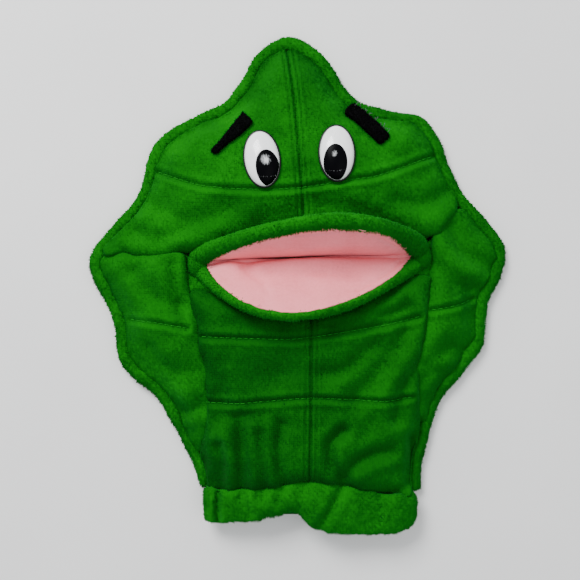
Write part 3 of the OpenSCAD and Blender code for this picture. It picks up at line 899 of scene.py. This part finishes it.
# ---------------------------------------------------------------------------------------------
# The eyes. Each is a domed oval of glossy white plastic with a black oval pupil let into it low
# down, in a thin black rim, and the black is scratched in places, with a painted highlight near the
# top of each pupil.
EYE_W, EYE_L, EYE_H = 20.9, 33.8, 6.2
PUPIL_W, PUPIL_L = 14.2, 21.6
PUPIL_EDGE = 0.975
eye_places = {"left": (-21.5, 76, 8, 1.0), "right": (23.5, 79.5, 1, -0.5)}

white_plastic = Finish("white_plastic", Roughness=0.22, Coat_Weight=0.3, Coat_Roughness=0.08)
soil = white_plastic.noise(150, 5, None, 0.6)
white_plastic.give("Base Color", white_plastic.ramp(soil, [(0.3, (0.86, 0.87, 0.87)),
                                                           (0.6, (0.95, 0.96, 0.96))]))
black_plastic = Finish("black_plastic", Roughness=0.3, Specular_IOR_Level=0.035)
drawn = black_plastic.node("ShaderNodeMapping", {},
                           {"Vector": black_plastic.place, "Scale": (1.0, 0.35, 1.0)})
scuff = black_plastic.noise(1100, 4, drawn, 0.8)
# The pale marks are scratches and a painted highlight, both carried by the pupil's attribute.
wear_and_highlight = black_plastic.node("ShaderNodeMapRange", {}, {"Value": scuff * black_plastic.attribute("wear_and_highlight"),
                                                     "From Min": 0.32, "From Max": 0.52}, "Result")
black_plastic.give("Base Color", black_plastic.node(
    "ShaderNodeMix", {"data_type": "RGBA"},
    {0: wear_and_highlight * 0.9, 6: (0.0012, 0.0012, 0.0018, 1), 7: (0.66, 0.68, 0.69, 1)}, 2))
black_plastic.give("Roughness", wear_and_highlight * 0.4 + 0.3)
rim_plastic = Finish("rim_plastic", Roughness=0.35, Specular_IOR_Level=0.2)
rim_plastic.give("Base Color", rim_plastic.ramp(rim_plastic.noise(300, 3), [(0.3, (0.002, 0.002, 0.002)),
                                                                        (0.8, (0.008, 0.008, 0.009))]))


def square_to_face(at, tilt):
    """Place and turn of a piece fixed flat on the face."""
    d = 7.0
    x, y = at
    around = top_at([at, (x + d, y), (x - d, y), (x, y + d), (x, y - d)], 3)
    slope_x = 0.8 * (around[1] - around[2]) / (2 * d)
    slope_y = 0.8 * (around[3] - around[4]) / (2 * d)
    turn = (Matrix.Rotation(math.radians(tilt), 4, "Z") @ Matrix.Rotation(-math.atan(slope_x), 4, "Y")
            @ Matrix.Rotation(math.atan(slope_y), 4, "X"))
    return Matrix.Translation((x * MM, y * MM, around[1:].mean() * MM)) @ turn


def oval_dome(name, width, length, height, base):
    """The upper half of an ellipsoid with a short upright edge under it, closed below."""
    bm = bmesh.new()
    bmesh.ops.create_uvsphere(bm, u_segments=72, v_segments=40, radius=1)
    cut = bmesh.ops.bisect_plane(bm, geom=[*bm.verts, *bm.edges, *bm.faces], plane_co=(0, 0, 0),
                                 plane_no=(0, 0, -1), clear_outer=True)
    edges = [g for g in cut["geom_cut"] if isinstance(g, bmesh.types.BMEdge)]
    grown = bmesh.ops.extrude_edge_only(bm, edges=edges)
    low = [g for g in grown["geom"] if isinstance(g, bmesh.types.BMVert)]
    for v in bm.verts:
        v.co = (v.co.x * width / 2 * MM, v.co.y * length / 2 * MM, v.co.z * height * MM)
    bmesh.ops.translate(bm, verts=low, vec=(0, 0, -base * MM))
    bmesh.ops.holes_fill(bm, edges=bm.edges, sides=0)
    bmesh.ops.recalc_face_normals(bm, faces=bm.faces)
    obj = from_bmesh(name, bm)
    shade_smooth(obj)
    return obj


for side, (x, y, tilt, inwards) in eye_places.items():
    seat = square_to_face((x, y), tilt) @ Matrix.Translation((0, 0, 1.3 * MM))
    white = oval_dome(f"eye_white_{side}_dome", EYE_W, EYE_L, EYE_H, 1.2)
    white.data.transform(seat)
    white.data.materials.append(white_plastic.material)
    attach(white, "cover")
    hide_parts("eye_white_" + side)

    turns = np.linspace(0, math.tau, 97)
    edge = np.stack([(EYE_W / 2 + 0.15) * np.cos(turns), (EYE_L / 2 + 0.15) * np.sin(turns), np.zeros(97)],
                    axis=1)
    band = roll(f"eye_rim_{side}", edge, 0.75)
    band.data.transform(seat)
    shade_smooth(band)
    band.data.materials.append(rim_plastic.material)
    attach(band, "cover")

    pupil = oval_dome(f"pupil_{side}_inlay", PUPIL_W, PUPIL_L, 1, 0.3)
    points = get_points(pupil)
    centre = np.array([2.9 * inwards, -6.6])
    on = points[:, :2] + centre
    away = (on[:, 0] / (EYE_W / 2)) ** 2 + (on[:, 1] / (EYE_L / 2)) ** 2
    on /= np.sqrt(np.maximum(away / PUPIL_EDGE, 1))[:, None]
    height = EYE_H * np.sqrt(1 - np.minimum(away, PUPIL_EDGE)) + 0.12 + np.minimum(points[:, 2], 0.02)
    set_points(pupil, np.column_stack([on, height]))
    wear = pupil.data.attributes.new("wear_and_highlight", "FLOAT", "POINT")
    # The spot near the top of each pupil is a painted highlight, broken up by the scratches; the arc below
    # it is a scratch.
    broad, bright = (4.4, 0.98) if side == "left" else (2.6, 0.95)
    painted_highlight = bright * np.exp(-(((on[:, 0] - centre[0] + 0.6) / broad) ** 2
                             + ((on[:, 1] - centre[1] - 4.8) / (broad + 0.4)) ** 2))
    arc = on[:, 1] - centre[1] + 5.4 - 0.03 * (on[:, 0] - centre[0]) ** 2
    wear.data.foreach_set("value", np.maximum(painted_highlight, 0.8 * np.exp(-(arc / 0.35) ** 2)).astype(np.float32))
    pupil.data.transform(seat)
    pupil.data.materials.append(black_plastic.material)
    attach(pupil, "cover")
    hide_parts("pupil_" + side)

# ---------------------------------------------------------------------------------------------
# The brows. Two strips of black pile cloth sewn on flat: the left one tapers, the right one is an
# even bar whose upper edge has frayed to its grey backing.
black_pile = Finish("black_pile", Roughness=1.0, Specular_IOR_Level=0.03)
fluff = black_pile.noise(900, 3)
black_pile.give("Base Color", black_pile.ramp(fluff, [(0.3, (0.0008, 0.0008, 0.0008)),
                                                      (0.8, (0.004, 0.004, 0.0045))]))
brows = {"left": [(-33.8, 105.9), (-27.0, 99.9), (-34.6, 92.0), (-42, 86.4), (-49.8, 79.6), (-52.8, 82.2),
                  (-47.4, 88), (-41.4, 96.2)],
         "right": [(33.6, 113.3), (38.2, 109.9), (44.2, 104.5), (49.1, 99.7), (56.0, 91.2), (50.2, 85.9),
                   (43, 92.6), (37.2, 98.0), (28.2, 106.1)]}
for side, outline in brows.items():
    brow = slab(f"brow_{side}_strip", enlarged(np.array(outline), -0.4), 4)
    even_mesh(brow, 1.3, 0)
    points = get_points(brow)
    points[:, 2] = top_at(points[:, :2], 3.5) - 1.0 + points[:, 2] * 0.75
    set_points(brow, points)
    finer(brow, 1)
    raise_pile(brow, 0.8, 131, spread=0.42, lowest=-0.8)
    finish_soft(brow, black_pile.material, nodes=["brow_" + side])

draw = np.random.default_rng(141)
frayed_edge = evenly(smooth_line([(36.2, 111.6), (44.2, 104.5), (49.1, 99.7), (55.4, 92)]), 40)
fibres = []
for first in draw.integers(0, 38, 17):
    place, run = frayed_edge[first], frayed_edge[first + 1] - frayed_edge[first]
    out_of = np.array([-run[1], run[0]]) / np.linalg.norm(run)
    reach, sway = draw.uniform(0.8, 2.8), draw.uniform(-2.2, 2.2)
    t = np.linspace(-0.5, 1, 6)
    along_edge = t[:, None] ** 2 * run / np.linalg.norm(run)
    hair = place + reach * t[:, None] * out_of + sway * along_edge
    rise = top_at([place], 3)[0] + 1.3 + draw.uniform(0.2, 1.2) * np.sin(t * 2)
    fibres.append(roll("fibre", np.column_stack([hair, rise]), 0.15))
fray = joined("brow_fray", fibres)
fray.data.materials.append(thread_finish("frayed_backing", (0.006, 0.006, 0.007), (0.12, 0.13, 0.13)))
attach(fray, "cover")

# ---------------------------------------------------------------------------------------------
# Inside. Lining, pockets, boards, posts and washers keep their made shapes and get the finish of their
# stuff.
lining_cloth = Finish("lining_cloth", Roughness=0.9, Specular_IOR_Level=0.05)
thread = lining_cloth.node("ShaderNodeTexWave", {"bands_direction": "DIAGONAL"},
                           {"Vector": lining_cloth.place, "Scale": 500, "Distortion": 0.6}, "Fac")
lining_tone = thread * 0.5 + lining_cloth.noise(80, 3) * 0.5
lining_cloth.give("Base Color", lining_cloth.ramp(lining_tone, [(0.2, (0.002, 0.05, 0.006)),
                                                                (0.8, (0.006, 0.12, 0.016))]))
lining_cloth.bump(thread, 0.3, 0.0002)
grey_board = Finish("grey_board", Roughness=0.9)
grey_board.give("Base Color", grey_board.ramp(grey_board.noise(400, 5), [(0.3, (0.28, 0.22, 0.15)),
                                                                     (0.8, (0.42, 0.34, 0.24))]))
washer_plastic = Finish("washer_plastic", Roughness=0.5)
cloudy = washer_plastic.noise(200, 3)
washer_plastic.give("Base Color", washer_plastic.ramp(cloudy, [(0.3, (0.55, 0.55, 0.53)),
                                                               (0.8, (0.66, 0.66, 0.64))]))
for made, names in ((lining_cloth, ["hand_lining", "finger_pocket", "thumb_pocket"]),
                    (grey_board, ["upper_board", "lower_board"]),
                    (rim_plastic, ["eye_post_left", "eye_post_right"]),
                    (washer_plastic, ["eye_washer_left", "eye_washer_right"])):
    for name in names:
        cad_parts[name].data.materials.clear()
        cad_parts[name].data.materials.append(made.material)
